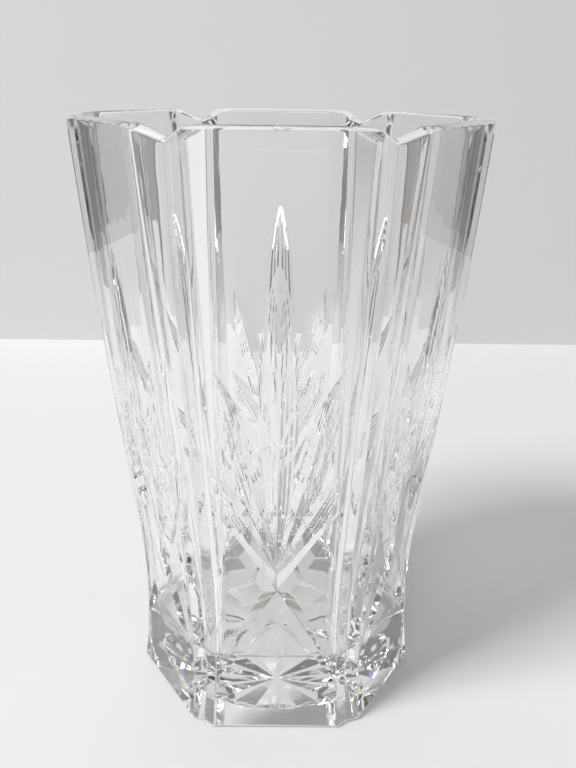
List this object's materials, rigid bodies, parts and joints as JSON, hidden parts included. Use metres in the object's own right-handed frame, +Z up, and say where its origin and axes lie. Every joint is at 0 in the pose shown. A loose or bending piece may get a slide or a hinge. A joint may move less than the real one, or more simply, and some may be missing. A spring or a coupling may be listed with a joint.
{
  "type": "vase",
  "caption": "Tapering hexagonal vase of clear cut crystal, with V-shaped corner grooves, a notched rim, fans of mitre cuts on its panels and a star under its thick base.",
  "frame": {"origin": "centre of the flat face that the vase stands on", "axes": "+Z up along the vase's axis, -Y out of the middle of one panel, +X to the right when that panel is seen from the front"},
  "size_m": [0.1346, 0.1246, 0.2],
  "materials": {
    "crystal": "polished clear lead crystal"
  },
  "bodies": {
    "root": {"crystal_vase": "crystal"}
  },
  "joints": []
}
